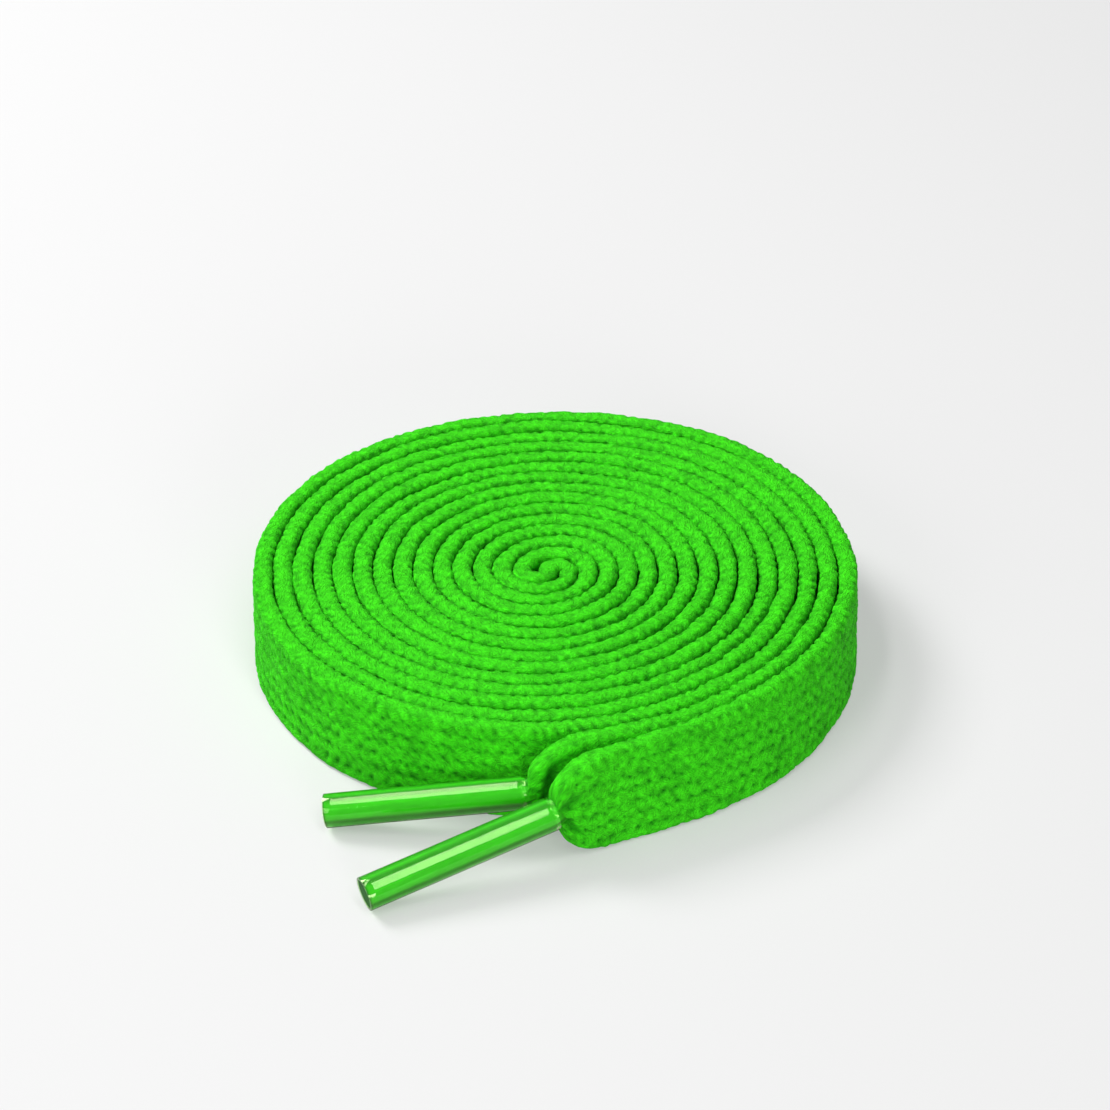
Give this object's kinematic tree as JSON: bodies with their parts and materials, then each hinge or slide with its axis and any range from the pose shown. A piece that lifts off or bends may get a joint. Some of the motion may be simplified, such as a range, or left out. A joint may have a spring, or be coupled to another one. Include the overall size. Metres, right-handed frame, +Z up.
{
  "type": "shoelace",
  "caption": "Flat braided shoelace folded in half and rolled up on edge, both ends free, each drawn in to a clear plastic aglet.",
  "frame": {"origin": "on the table under the middle of the roll, on the line about which the half turns are struck", "axes": "+Z up across the lace's width; -Y towards the free ends at the front; -X the way the aglets point"},
  "size_m": [0.0645, 0.0784, 0.01],
  "materials": {
    "lace_braid": "flat braided polyester, neon green",
    "lace_core": "the same braid, gathered and pressed inside the aglet",
    "aglet_film": "clear glossy rolled film"
  },
  "bodies": {
    "roll": {"lace_roll": "lace_braid"},
    "outer_end": {"outer_end": "lace_braid"},
    "inner_tip": {"inner_core": "lace_core", "inner_aglet": "aglet_film"},
    "outer_tip": {"outer_core": "lace_core", "outer_aglet": "aglet_film"}
  },
  "joints": [
    {"name": "outer_end_peel", "type": "hinge", "parent": "roll", "child": "outer_end", "pos_m": [0.01559, -0.03004, 0], "axis": [0, 0, 1], "range_deg": [0, 90]},
    {"name": "inner_tip_lift", "type": "hinge", "parent": "roll", "child": "inner_tip", "pos_m": [-0.00179, -0.03247, 0.00663], "axis": [0.0488, 0.9988, 0], "range_deg": [0, 75]},
    {"name": "outer_tip_lift", "type": "hinge", "parent": "outer_end", "child": "outer_tip", "pos_m": [0.00072, -0.03585, 0.00663], "axis": [-0.4305, 0.9026, 0], "range_deg": [0, 75]}
  ]
}
